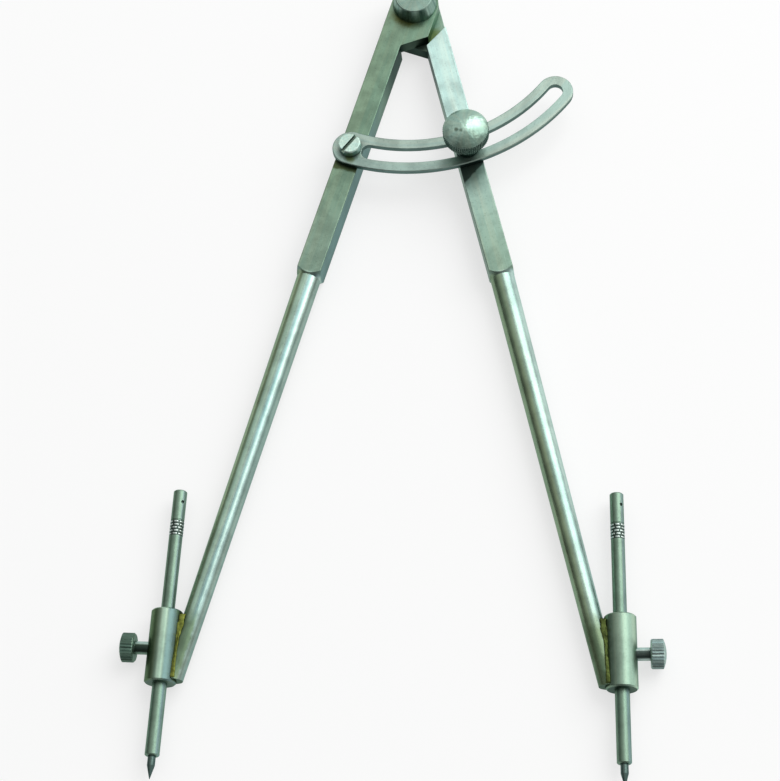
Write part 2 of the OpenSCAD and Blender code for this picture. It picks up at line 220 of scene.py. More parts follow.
class StageSettings(bpy.types.PropertyGroup):
    """Camera, lamps and floor."""

    look_at: bpy.props.FloatVectorProperty(
        name="Look at",
        description="Point in the middle of the picture",
        subtype="TRANSLATION",
        default=(-4.27 * MM, -177.2 * MM, 5.5 * MM),
    )
    distance: length("Camera distance", "Distance from the camera to that point", 0.893)
    azimuth: angle("Camera azimuth", "Direction of the camera, 0 looks along +Y", 12.995)
    elevation: angle("Camera elevation", "Height of the camera above the horizon", 65.676)
    roll: angle("Camera roll", "Turn of the camera about its own line of sight", -11.788)
    lens: number("Lens", "Focal length on a 36 mm sensor", 103.78)
    floor_colour: colour("Floor colour", "Colour of the pale floor", (0.93, 0.935, 0.93))
    floor_white: factor("Floor white", "Share of even white in the floor, beside the light on it", 0.65)
    floor_reach: length("Floor reach", "Distance from the middle of the floor to its rim", 12.0)
    floor_gap: length("Floor gap", "Room between the divider and the floor", 0.05 * MM)
    sky_dim: number("Sky dim side", "Brightness of the sky on the far side from the lamp", 0.08)
    sky_bright: number("Sky bright side", "Brightness of the sky above and beside the lamp", 0.75)
    lamp_power: number("Lamp power", "Power of the large soft lamp at the upper right", 34.0)
    lamp_size: length("Lamp size", "Width of the soft lamp", 2.0)
    lamp_distance: length("Lamp distance", "Distance from the lamp to the divider", 2.2)
    lamp_azimuth: angle("Lamp azimuth", "Direction of the lamp, counted as the camera's", 135)
    lamp_elevation: angle("Lamp elevation", "Height of the lamp above the horizon", 43)


class Value:
    """A shader value that adds Math nodes where it is used in an expression."""

    def __init__(self, paint, socket):
        self.paint = paint
        self.socket = socket

    def math(self, operation, left, right):
        return self.paint.node("Math", {0: left, 1: right}, operation=operation)

    def __add__(self, other):
        return self.math("ADD", self, other)

    def __radd__(self, other):
        return self.math("ADD", other, self)

    def __sub__(self, other):
        return self.math("SUBTRACT", self, other)

    def __rsub__(self, other):
        return self.math("SUBTRACT", other, self)

    def __mul__(self, other):
        return self.math("MULTIPLY", self, other)

    def __rmul__(self, other):
        return self.math("MULTIPLY", other, self)


class Paint:
    """Adds nodes to a material or to the world, with coordinates in millimetres."""

    def __init__(self, owner):
        owner.use_nodes = True
        self.owner = owner
        self.tree = owner.node_tree
        self.tree.nodes.clear()

    def node(self, kind, inputs, output=0, **settings):
        """Adds a shader node, sets it up, and fills its sockets with values or links."""
        made = self.tree.nodes.new(f"ShaderNode{kind}")
        for key, value in settings.items():
            setattr(made, key, value)
        for key, value in inputs.items():
            if isinstance(value, Value):
                self.tree.links.new(value.socket, made.inputs[key])
            else:
                made.inputs[key].default_value = value
        return Value(self, made.outputs[output]) if made.outputs else None

    def vector_math(self, operation, first, second, output="Vector"):
        return self.node("VectorMath", {0: first, 1: second}, output, operation=operation)

    def coordinates(self, kind):
        return self.node("TexCoord", {}, kind)

    def place(self, origin, turn):
        """Coordinates in millimetres from a point, in axes that are turned by three angles."""
        coords = self.coordinates("Object")
        inputs = {"Vector": coords, "Location": origin, "Rotation": turn, "Scale": (MM, MM, MM)}
        return self.node("Mapping", inputs, vector_type="TEXTURE")

    def part(self, vector, axis):
        return self.node("SeparateXYZ", {0: vector}, axis)

    def join(self, x, y, z):
        return self.node("CombineXYZ", {0: x, 1: y, 2: z})

    def stretch(self, vector, factors):
        return self.vector_math("MULTIPLY", vector, factors)

    def flat(self, vector):
        """The same coordinates at the height 0."""
        return self.stretch(vector, (1, 1, 0))

    def away(self, vector, point):
        """Distance from a point."""
        return self.vector_math("DISTANCE", vector, point, "Value")

    def radius(self, vector):
        """Distance from the vertical axis."""
        return self.away(self.flat(vector), ORIGIN)

    def turn_about(self, vector):
        """Angle about the vertical, 0 on the -Y side."""
        x, y = self.part(vector, "X"), self.part(vector, "Y")
        return self.node("Math", {0: x, 1: 0 - y}, operation="ARCTAN2")

    def noise(self, vector, scale, detail=4.0, rough=0.55):
        inputs = {"Vector": vector, "Scale": scale, "Detail": detail, "Roughness": rough}
        return self.node("TexNoise", inputs, "Fac")

    def ramp(self, value, low, high):
        """0 at low, 1 at high, and a smooth step between."""
        inputs = {"Value": value, "From Min": low, "From Max": high}
        return self.node("MapRange", inputs, interpolation_type="SMOOTHSTEP")

    def step(self, vector, axis, low, high):
        """A smooth step between two places along an axis of the coordinates."""
        return self.ramp(self.part(vector, axis), low, high)

    def ragged(self, vector, scale, detail, rough):
        """Noise about 0, which makes a border ragged."""
        return self.noise(vector, scale, detail, rough) - 0.5

    def mix(self, share, under, over, blend="MIX"):
        inputs = {0: share, 6: under, 7: over}
        return self.node("Mix", inputs, 2, data_type="RGBA", blend_type=blend)

    def tint(self, share, under, over):
        """The colour below, multiplied by another one by a share."""
        return self.mix(share, under, over, "MULTIPLY")

    def edges(self, radius):
        """1 on sharp outer edges, with the rounded normal that shows them."""
        soft = self.node("Bevel", {"Radius": radius}, samples=EDGE_SAMPLES)
        true = self.node("NewGeometry", {}, "Normal")
        same = self.vector_math("DOT_PRODUCT", soft, true, "Value")
        return self.ramp(1 - same, 0.01, 0.22), soft

    def facing(self, axis):
        """Share by which the surface faces along an axis."""
        return self.vector_math("DOT_PRODUCT", self.coordinates("Normal"), axis, "Value")

    def turned(self, axis, low, high):
        """A smooth step between two shares by which the surface faces along an axis."""
        return self.ramp(self.facing(axis), low, high)

    def flank(self, axis):
        """1 where the surface faces across an axis, 0 where it faces along it either way."""
        low, high = FLANK_LIMITS
        along = self.facing(axis)
        return self.ramp(along * along, high * high, low * low)

    def corners(self, reach, own):
        """1 in grooves and corners, of the same piece only or of all pieces."""
        open_share = self.node(
            "AmbientOcclusion", {"Distance": reach}, "AO", only_local=own, samples=CORNER_SAMPLES
        )
        return self.ramp(1 - open_share, 0.12, 0.62)

    def bump(self, height, depth, normal):
        inputs = {"Height": height, "Distance": depth, "Strength": 1.0, "Normal": normal}
        return self.node("Bump", inputs)

    def finish(self, tone, rough, metallic, normal):
        """Closes a material; steel seen at a grazing angle stays grey."""
        inputs = {
            "Base Color": tone,
            "Roughness": rough,
            "Metallic": metallic,
            "Specular Tint": GRAZING_TINT,
            "Normal": normal,
        }
        self.node("OutputMaterial", {"Surface": self.node("BsdfPrincipled", inputs)})
        return self.owner


def opaque(colour, share=1.0):
    """A colour, made darker or lighter, as the four numbers that a socket takes."""
    return (*[min(channel * share, 1.0) for channel in colour], 1.0)


def grey(value):
    """A grey that a colour is multiplied by."""
    return (value, value, value, 1.0)


def dress(node, material):
    """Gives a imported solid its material."""
    slots = frame["nodes"][node].data.materials
    slots.clear()
    slots.append(material)


def direction(azimuth, elevation):
    """Unit vector towards a lamp or camera; azimuth 0 lies on the -Y side."""
    flat = math.cos(elevation)
    return Vector((math.sin(azimuth) * flat, -math.cos(azimuth) * flat, math.sin(elevation)))


def drawn_lines(paint, at):
    """Fine lines along local Y and broad streaks beside them."""
    fine = paint.noise(paint.stretch(at, (3.2, 0.05, 3.2)), 1.0, 5.0, 0.6)
    broad = paint.noise(paint.stretch(at, (0.5, 0.012, 0.5)), 1.0, 3.0, 0.5)
    return fine, broad


def turned_rings(paint, at):
    """Fine rings about local Z and broad bands down its sides."""
    rings = paint.join(2.4 * paint.radius(at), 0.0, 1.4 * paint.part(at, "Z"))
    fine = paint.noise(rings, 1.0, 4.0, 0.6)
    broad = paint.noise(paint.vector_math("NORMALIZE", paint.flat(at), UP), 3.0, 3.0, 0.5)
    return fine, broad


def metal_with_wear_and_shade(
    name, steel, finish, place, lay, rough, sides, bare=0.2, zones=(), stains=(), shade=0.75, uneven=0.0
):
    """Steel with tool marks, mottling, nicks, dirt, worn edges, painted glints and painted shade.

    place gives the coordinates and lay the tool marks. sides is a function from the coordinates to a
    share, with the colour by which side faces darken, as painted shade. bare is the share of
    pale steel on the edges, partly wear and partly painted glints. A zone is a function from the
    coordinates to a share, with the colour and the gloss that the steel takes there. A stain is a centre,
    a reach and a colour. shade is the share of painted shade close to other pieces, and uneven the height
    of shallow waves in the surface, as a multiple of the tool marks.
    """
    paint = Paint(bpy.data.materials.new(name))
    at = place(paint)
    fine, broad = lay(paint, at)
    cloud = paint.noise(at, 0.10, 6.0, 0.62)
    speckle = paint.noise(at, 1.5, 3.0, 0.6)
    nick = paint.ramp(paint.noise(paint.stretch(at, (2.6, 0.16, 2.6)), 1.0, 1.0, 0.4), 0.70, 0.76)
    edge, soft = paint.edges(finish.edge_radius)
    # Dirt and painted shade in the piece's own grooves and corners
    corner = paint.corners(finish.groove_reach, True)
    tone, matt = opaque(steel), rough
    for where, zone_colour, gloss in zones:
        share = where(paint, at)
        tone = paint.mix(share, tone, opaque(zone_colour))
        matt = matt - gloss * share
    tone = paint.tint(paint.ramp(broad, 0.38, 0.62), tone, opaque(finish.cool_tint))
    tone = paint.tint(paint.ramp(0.8 * cloud + 0.2 * fine, 0.60, 0.38), tone, grey(0.76))
    tone = paint.tint(paint.ramp(speckle, 0.56, 0.72), tone, grey(0.78))
    tone = paint.tint(nick, tone, grey(1.15))
    # Painted shade on the side faces
    side_share, side_colour = sides
    tone = paint.tint(side_share(paint, at), tone, opaque(side_colour))
    for centre, reach, stain_colour in stains:
        spread = paint.away(at, centre) + 0.9 * reach * paint.ragged(at, 0.45, 5.0, 0.62)
        tone = paint.mix(0.75 * paint.ramp(spread, reach, 0.3 * reach), tone, opaque(stain_colour))
    # Painted shade close to other pieces
    tone = paint.tint(shade * paint.corners(finish.shade_reach, False), tone, grey(0.22))
    # Dirt and painted shade in grooves and corners
    tone = paint.mix(0.8 * corner, tone, opaque(finish.dirt_and_shade))
    # Pale edges: worn edges and painted glints
    tone = paint.mix(bare * edge, tone, opaque(steel, 1.5))
    matt = matt + 0.16 * (fine - 0.5) + 0.14 * (cloud - 0.5) + 0.2 * corner - 0.06 * edge
    relief = 0.6 * fine + 0.5 * speckle - 0.5 * nick
    if uneven:
        relief = relief + uneven * paint.noise(at, 0.28, 2.0, 0.5)
    return paint.finish(tone, matt, 1.0, paint.bump(relief, finish.mark_depth, soft))


def leg_place(side, finish):
    """Local Y runs up the bar of one leg, from the hinge."""
    return lambda paint: paint.place(ORIGIN, (0, 0, side * finish.leg_angle))


def scriber_place(name, finish):
    """Local Y runs up one scriber, from its thumb screw."""
    foot = JOINTS[f"{name}_thumb_turn"]["pos_m"]
    return lambda paint: paint.place(foot, (0, 0, SIDES[name] * finish.scriber_angle))


def arc_place(paint):
    """Local Y runs along the arc and local X across it."""
    at = paint.place(ORIGIN, ORIGIN)
    radius = paint.radius(at)
    return paint.join(radius, radius * paint.turn_about(at), paint.part(at, "Z"))


def screw_place(origin, axis):
    """Local Z is the axis of a screw."""
    turn = Vector(UP).rotation_difference(Vector(axis)).to_euler()
    return lambda paint: paint.place(origin, turn)


def flanks(axis, share):
    """A share for the faces across an axis."""
    return lambda paint, at: share * paint.flank(axis)


def turned_to(axis, low, high, most=1.0):
    """A share for faces turned towards an axis, between two shares by which they face along it."""
    return lambda paint, at: most * paint.turned(axis, low, high)


def window(paint, value, low, high, soft):
    """1 between two values, with soft borders."""
    return paint.ramp(value, low - soft, low + soft) * paint.ramp(value, high + soft, high - soft)


def band(low, high):
    """A share for a band between two places along local Y."""
    return lambda paint, at: window(paint, paint.part(at, "Y"), low, high, 0.1)


def striped(low, high, most):
    """A share for a stripe along round pieces, between two shares by which they face right."""
    return lambda paint, at: most * window(paint, paint.facing(RIGHT), low, high, 0.08)


def scriber_height(name):
    """Length of a scriber above its thumb screw."""
    down = Vector(JOINTS[f"{name}_scriber_slide"]["axis"])
    foot = Vector(JOINTS[f"{name}_thumb_turn"]["pos_m"])
    shank = frame["nodes"][f"{name}_shank"].data
    return -min((vertex.co - foot).dot(down) for vertex in shank.vertices)


class DIVIDER_OT_legs(bpy.types.Operator):
    """Give both legs their satin steel with grain along the bars"""

    bl_idname = "divider.legs"
    bl_label = "Finish the legs"

    # Pairs of places along the bar in millimetres, where a share starts and where it is full
    rod_start = (-132.0, -133.0)
    cheek_foot = (-22.0, -19.0)
    below_cheek = (-19.0, -22.0)
    lap_foot = (-26.0, -22.0)
    near_cheeks = (-60.0, -50.0)
    dark_sides = (-52.0, -30.0)
    shaded_sides = (-48.0, -32.0)
    lower_sides = (-40.0, -70.0)
    pale_face = (-80.0, -125.0)
    highlight_span = (-135.0, -30.0)
    heat = (-276.0, -288.0)

    # Such pairs across the bar and above its back
    lap_inside = (4.5, 1.5)
    lap_height = (6.5, 5.8)
    front_height = (10.0, 10.8)
    highlight_height = (9.5, 10.6)

    # Centre and reach of the oil stain in the lap, and how far the scale goes round each rod
    lap_stain = ((4.2, -14.5, 5.5), 6.0)
    scale_reach = {"left": 0.75, "right": 1.2}

    def execute(self, context):
        finish = context.scene.divider_finish
        looks = {"left": self.left_look(finish), "right": self.right_look(finish)}
        for name, side in SIDES.items():
            steel, zones, stains = looks[name]
            outward = (side * math.cos(finish.leg_angle), math.sin(finish.leg_angle), 0)
            both = [
                (self.heated(outward, self.scale_reach[name]), finish.scale, -0.14),
                # Painted shade on the bar's sides below the cheeks and on the cheeks' slanted lower ends
                (self.near_hinge, finish.dirt_and_shade, -0.05),
                (self.cheek_end, finish.dirt_and_shade, -0.05),
            ]
            material = metal_with_wear_and_shade(
                f"{name} leg steel",
                steel,
                finish,
                leg_place(side, finish),
                drawn_lines,
                rough=0.36,
                sides=(self.leg_sides, finish.side_shade),
                bare=0.08,
                zones=[*zones, *both],
                stains=stains,
                shade=0.5,
            )
            dress(f"{name}_leg", material)
        return {"FINISHED"}

    def left_look(self, finish):
        """Steel, zones and stains of the left leg."""
        zones = [
            # Painted reflection: bluish lower side faces
            (self.reflecting_side, finish.cool_reflection, 0.0),
            # Painted light: the front of the bar paler towards the rod
            (self.lower_front, finish.lit_bar_steel, 0.0),
            (self.rod, finish.rod_steel, 0.05),
            # Painted light on the rod: highlight stripes, a dark reflection line between them and painted
            # shade on its left
            (self.on_rod(striped(-0.42, 0.02, 0.9)), finish.painted_stripe_steel, 0.0),
            (self.on_rod(striped(0.16, 0.36, 0.9)), finish.cool_reflection, 0.0),
            (self.on_rod(striped(0.45, 0.66, 0.8)), finish.highlight_steel, 0.0),
            (self.on_rod(striped(-2.0, -0.36, 1.0)), finish.rod_shade_tint, 0.0),
            (self.hinge_rim, finish.rust, -0.05),
            # Painted shadow of the arc's lug on the bar
            (self.arc_shadow(slant=0.0, reach=2.2), finish.lug_shadow, -0.05),
        ]
        return finish.left_steel, zones, []

    def right_look(self, finish):
        """Steel, zones and stains of the right leg."""
        zones = [
            # Painted highlight on the bar's front near the hinge
            (self.highlight_front, finish.highlight_steel, 0.02),
            (self.rod, finish.rod_steel, 0.05),
            # Painted shade on the rod's left and a painted highlight on its right
            (self.on_rod(turned_to(LEFT, -0.2, 0.4)), finish.rod_shade_tint, 0.0),
            (self.on_rod(turned_to(RIGHT, 0.5, 0.75, 0.9)), finish.highlight_steel, 0.0),
            # Painted shade on the rear cheek's face
            (self.lap_face, finish.dirt_and_shade, -0.1),
            # Painted shadow of the arc on the bar
            (self.arc_shadow(slant=0.77, reach=7.7), finish.dirt_and_shade, -0.05),
        ]
        # The right bar takes the lit copy of the bar steel, as painted light
        return finish.lit_bar_steel, zones, [(*self.lap_stain, finish.oil)]

    def rod(self, paint, at):
        """The round rod below the bar, from the cone on down."""
        return paint.step(at, "Y", *self.rod_start)

    def on_rod(self, where):
        """A share that holds on the round rod only."""
        return lambda paint, at: self.rod(paint, at) * where(paint, at)

    def reflecting_side(self, paint, at):
        """Side faces of the bar from the arc on down, with a bluish painted reflection."""
        return paint.flank(UP) * paint.step(at, "Y", *self.lower_sides)

    def lower_front(self, paint, at):
        """Front of the bar, painted paler towards the rod, as painted light."""
        return paint.step(at, "Y", *self.pale_face) * paint.turned(UP, 0.7, 0.9)

    def near_hinge(self, paint, at):
        """Painted shade on the side faces of the bar just below the cheeks."""
        below = paint.step(at, "Y", *self.shaded_sides) * paint.step(at, "Y", *self.below_cheek)
        return 0.75 * below * paint.flank(UP)

    def cheek_end(self, paint, at):
        """Painted shade on the slanted lower end of a cheek."""
        return 0.8 * paint.turned(FEETWARD, 0.5, 0.8) * paint.step(at, "Y", *self.near_cheeks)

    def leg_sides(self, paint, at):
        """Painted shade on side faces, darkest below the cheeks, with less of it on the rods' right, where
        the light falls.
        """
        rod = self.rod(paint, at)
        share = 0.15 + 0.85 * paint.step(at, "Y", *self.dark_sides)
        share = share - 0.9 * paint.step(at, "Y", *self.cheek_foot) + 0.5 * rod
        share = share - 0.8 * rod * paint.turned(RIGHT, 0.0, 0.4)
        share = share - 0.5 * rod * paint.turned(LEFT, 0.8, 0.95)
        return share * paint.flank(UP)

    def lap_face(self, paint, at):
        """Painted shade on the face of the rear cheek, behind the front one."""
        behind = paint.step(at, "X", *self.lap_inside) * paint.step(at, "Z", *self.lap_height)
        return 0.5 * behind * paint.step(at, "Y", *self.lap_foot)

    def highlight_front(self, paint, at):
        """Painted highlight on the front face, brighter towards the hinge."""
        return 0.95 * paint.step(at, "Z", *self.highlight_height) * paint.step(at, "Y", *self.highlight_span)

    def arc_shadow(self, slant, reach):
        """Painted shadow of the arc on the bar, in a wedge from its outer rim."""
        rim = max(vertex.co.xy.length for vertex in frame["nodes"]["wing_arc"].data.vertices) / MM

        def share(paint, at):
            below = 0 - rim - paint.part(at, "Y")
            spread = below + slant * paint.part(at, "X") + 1.6 * paint.ragged(at, 0.5, 4.0, 0.6)
            wedge = paint.ramp(spread, reach + 0.5, reach - 0.7) * paint.ramp(below, -3.0, -1.0)
            return 0.85 * wedge * paint.step(at, "Z", *self.front_height)

        return share

    def hinge_rim(self, paint, at):
        """Old oil that crept out from under the hinge screw's head, on its lower left."""
        spread = paint.radius(at) + 3.0 * paint.ragged(at, 0.4, 4.0, 0.6)
        turn = paint.turn_about(at)
        lower_left = paint.ramp(turn, -1.2, -0.5) * paint.ramp(turn, 0.7, 0.1)
        front = paint.step(at, "Z", *self.front_height)
        return 0.85 * paint.ramp(spread, 13.5, 9.6) * lower_left * front

    def heated(self, outward, reach):
        """Ragged scale beside the sleeve, from the side of the rod that was brazed on round it."""

        def share(paint, at):
            cloud = paint.ragged(at, 0.16, 5.0, 0.6)
            beside = paint.ramp(paint.facing(outward) + 0.9 * cloud, -reach, 0.4 - reach)
            return 0.9 * beside * paint.ramp(paint.part(at, "Y") + 14.0 * cloud, *self.heat)

        return share


class DIVIDER_OT_arc(bpy.types.Operator):
    """Give the slotted arc its sheet steel with grain along the curve"""

    bl_idname = "divider.arc"
    bl_label = "Finish the arc"

    # Distance of the oil stain from the screw, and its reach, in millimetres
    stain_offset = 4.5
    stain_reach = 3.0

    def execute(self, context):
        finish = context.scene.divider_finish
        low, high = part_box("arc_screw")
        lug = (low + high) / (2 * MM)
        turn = math.atan2(lug.x, -lug.y)
        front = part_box("wing_arc")[1].z / MM
        stain = (lug.xy.length + self.stain_offset, lug.xy.length * turn, front)
        material = metal_with_wear_and_shade(
            "Arc sheet steel",
            finish.arc_steel,
            finish,
            arc_place,
            drawn_lines,
            rough=0.40,
            # Painted shade on the arc's edge faces
            sides=(flanks(UP, 0.9), finish.side_shade),
            bare=0.7,
            stains=[(stain, self.stain_reach, finish.oil)],
        )
        dress("wing_arc", material)
        return {"FINISHED"}


class DIVIDER_OT_fasteners(bpy.types.Operator):
    """Give the nut, the stud and the screws their turned and knurled steel"""

    bl_idname = "divider.fasteners"
    bl_label = "Finish the fasteners"

    # Centre and reach of the dents in the nut's dome, in millimetres from the foot of its neck
    dents = (((-3.6, -1.8, 17.0), 1.3), ((-1.6, -2.2, 17.2), 1.1))
    # Width of the change from a thumb screw's shank to its head, in millimetres
    neck = 0.3
    lower_right = (0.6, -0.8, 0.0)

    def execute(self, context):
        finish = context.scene.divider_finish
        nut = screw_place(JOINTS["clamp_turn"]["pos_m"], UP)
        # Painted shade on the side faces of the nut and its stud, with dirt in the knurl
        knurl = (flanks(UP, 1.0), finish.knurl_shade)
        self.nut(finish, nut, knurl)
        self.turn("clamp_stud", finish.hinge_steel, finish, nut, rough=0.40, sides=knurl)
        self.turn(
            "hinge_screw",
            finish.hinge_steel,
            finish,
            screw_place(JOINTS["pivot_turn"]["pos_m"], UP),
            rough=0.30,
            # Painted reflection streaks down the cone of the hinge screw's head
            sides=(self.streaks, finish.side_shade),
            shade=0.25,
        )
        self.arc_screw(finish)
        self.thumb_screw("left", finish.left_thumb, finish)
        self.thumb_screw("right", finish.right_thumb, finish)
        return {"FINISHED"}

    def turn(self, node, steel, finish, place, **look):
        """Gives a turned piece its steel."""
        name = f"{node.replace('_', ' ')} steel"
        dress(node, metal_with_wear_and_shade(name, steel, finish, place, turned_rings, **look))

    def nut(self, finish, place, knurl):
        """Gives the clamp nut its dented and tarnished steel."""
        self.turn(
            "clamp_nut",
            finish.nut_steel,
            finish,
            place,
            rough=0.36,
            sides=knurl,
            bare=0.5,
            # Painted shade on the lower right of the dome
            zones=[(self.dome_shade, finish.dent_and_shade, 0.0)],
            stains=[(centre, reach, finish.dent_and_shade) for centre, reach in self.dents],
            uneven=45.0,
        )

    def arc_screw(self, finish):
        """Gives the slotted screw its bright steel."""
        low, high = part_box("arc_screw")
        middle = (low + high) / 2
        self.turn(
            "arc_screw",
            finish.screw_steel,
            finish,
            screw_place((middle.x, middle.y, 0), UP),
            rough=0.36,
            # Painted shade on the screw head's side
            sides=(flanks(UP, 0.6), finish.side_shade),
            bare=0.3,
            zones=[(self.slot_floor(high.z / MM), finish.oil, -0.1)],
            shade=0.5,
        )

    def thumb_screw(self, name, steel, finish):
        """Gives a thumb screw its knurled head and oily shank."""
        joint = JOINTS[f"{name}_thumb_turn"]
        start = self.head_start(frame["nodes"][f"{name}_thumb_screw"], joint)
        self.turn(
            f"{name}_thumb_screw",
            steel,
            finish,
            screw_place(joint["pos_m"], joint["axis"]),
            rough=0.40,
            # Painted shade on the knurled side of the head
            sides=(self.head_sides(start, joint["axis"]), finish.side_shade),
            bare=0.5,
            zones=[
                # Painted shade on the shank's front and a painted highlight on its top
                (self.shank_shade(start), finish.dirt_and_shade, -0.1),
                (self.shank_highlight(start), finish.highlight_steel, 0.05),
            ],
            shade=0.25,
        )

    def streaks(self, paint, at):
        """Painted reflection streaks down the hinge screw's cone: dark ones, with bright ones between them.
        """
        turn = paint.join(3.0 * paint.turn_about(at), 0.0, 0.0)
        dark = paint.ramp(paint.noise(turn, 1.4, 3.0, 0.6), 0.42, 0.60)
        return 0.6 * paint.flank(UP) * dark

    def dome_shade(self, paint, at):
        """Painted shade on the lower right of the nut's dome."""
        return 0.6 * paint.turned(UP, 0.3, 0.5) * paint.turned(self.lower_right, 0.05, 0.35)

    def head_start(self, screw, joint):
        """Distance from a thumb screw's joint to the inner face of its head, in millimetres."""
        axis = Vector(joint["axis"])
        ways = [vertex.co - Vector(joint["pos_m"]) for vertex in screw.data.vertices]
        places = [(way.dot(axis), (way - way.dot(axis) * axis).length) for way in ways]
        widest = max(radius for height, radius in places)
        return min(height for height, radius in places if radius > widest / 2) / MM

    def head_sides(self, start, axis):
        """Painted shade on the knurled side of a thumb screw's head."""
        return lambda paint, at: 0.6 * paint.step(at, "Z", start - self.neck, start) * paint.flank(axis)

    def on_shank(self, paint, at, start):
        """A thumb screw's shank, below its head."""
        return paint.step(at, "Z", start, start - self.neck)

    def shank_shade(self, start):
        """Painted shade on the front of the shank between the sleeve and the head."""

        def share(paint, at):
            front = paint.turned(UP, 0.35, 0.75) * paint.turned(FEETWARD, -0.45, -0.15)
            return 0.9 * self.on_shank(paint, at, start) * front

        return share

    def shank_highlight(self, start):
        """Painted highlight on the upper side of the shank."""
        return lambda paint, at: 0.8 * self.on_shank(paint, at, start) * paint.turned(FEETWARD, -0.25, -0.5)

    def slot_floor(self, top):
        """Darker olive floor of the driver slot, below a face at a height."""
        return lambda paint, at: 0.4 * paint.step(at, "Z", top - 0.3, top - 0.9) * paint.turned(UP, 0.7, 0.9)


class DIVIDER_OT_scribers(bpy.types.Operator):
    """Give the sleeves, shanks and carbide tips their finish"""

    bl_idname = "divider.scribers"
    bl_label = "Finish the scribers"

    # Share of painted olive shade on the left of the sleeves and the shanks
    sleeve_left_shade = {"left": 0.85, "right": 0.25}
    shank_left_shade = 0.2

    def execute(self, context):
        finish = context.scene.divider_finish
        grip = context.scene.divider_grip
        for name in SIDES:
            place = scriber_place(name, finish)
            looks = {
                "sleeve": self.sleeve(name, finish),
                "shank": self.shank(name, finish, grip),
                "tip": self.tip(finish),
            }
            for piece, (steel, look) in looks.items():
                material = metal_with_wear_and_shade(f"{name} {piece} steel", steel, finish, place, drawn_lines, **look)
                dress(f"{name}_{piece}", material)
        return {"FINISHED"}

    def sleeve(self, name, finish):
        """Steel and look of a sleeve."""
        down = Vector(JOINTS[f"{name}_scriber_slide"]["axis"])
        inward = SIDES[name] * down.cross(Vector(UP))
        # Painted light on the sleeves: a highlight stripe down the left sleeve with painted shade on its
        # right, and a painted highlight on the right sleeve's right flank
        worn = {
            "left": [
                (self.stripe, finish.painted_stripe_steel, 0.0),
                (turned_to(RIGHT, 0.15, 0.35), finish.right_shade, 0.0),
            ],
            "right": [(self.flank_pale, finish.painted_stripe_steel, 0.0)],
        }
        look = {
            "rough": 0.38,
            # Painted olive shade on the sleeve's left
            "sides": (turned_to(LEFT, 0.05, 0.6, self.sleeve_left_shade[name]), finish.left_shade),
            "zones": [
                *worn[name],
                # Painted shade on the sleeve's end faces
                (self.across(down), finish.dirt_and_shade, -0.1),
                (self.heated(inward), finish.oil, -0.05),
            ],
            "shade": 0.35,
        }
        return finish.sleeve_steel, look

    def shank(self, name, finish, grip):
        """Steel and look of a shank, with the dark ground of its grip band."""
        first = (scriber_height(name) - grip.start + grip.pitch / 2) / MM
        last = first - grip.rows * grip.pitch / MM
        look = {
            "rough": 0.40,
            "sides": (turned_to(LEFT, 0.05, 0.6, self.shank_left_shade), finish.left_shade),
            "zones": [
                # Painted highlight on the shank's right
                (self.flank_pale, finish.shank_flank, 0.0),
                (band(last, first), finish.grip_ground, 0.0),
            ],
            "shade": 0.2,
        }
        return finish.shank_steel, look

    def tip(self, finish):
        """Carbide and look of a tip."""
        # Painted shade on the tips' sides
        look = {"rough": 0.38, "sides": (flanks(UP, 0.4), finish.side_shade), "shade": 0.5}
        return finish.carbide, look

    def flank_pale(self, paint, at):
        """Painted highlight on the right flank of a sleeve or shank."""
        return 0.8 * paint.turned(RIGHT, 0.45, 0.7) * paint.turned(RIGHT, 0.98, 0.8)

    def stripe(self, paint, at):
        """Painted highlight: a bright stripe down the front of a sleeve."""
        return paint.turned(RIGHT, -0.25, -0.05) * paint.turned(RIGHT, 0.28, 0.12)

    def across(self, axis):
        """Painted shade on the end faces, square to an axis."""

        def share(paint, at):
            along = paint.facing(axis)
            return 0.7 * paint.ramp(along * along, 0.6, 0.9)

        return share

    def heated(self, axis):
        """Ragged olive tint on the side that was brazed."""

        def share(paint, at):
            spread = paint.facing(axis) + 1.2 * paint.ragged(at, 0.5, 5.0, 0.65)
            return 0.6 * paint.ramp(spread, 0.6, 1.1)

        return share


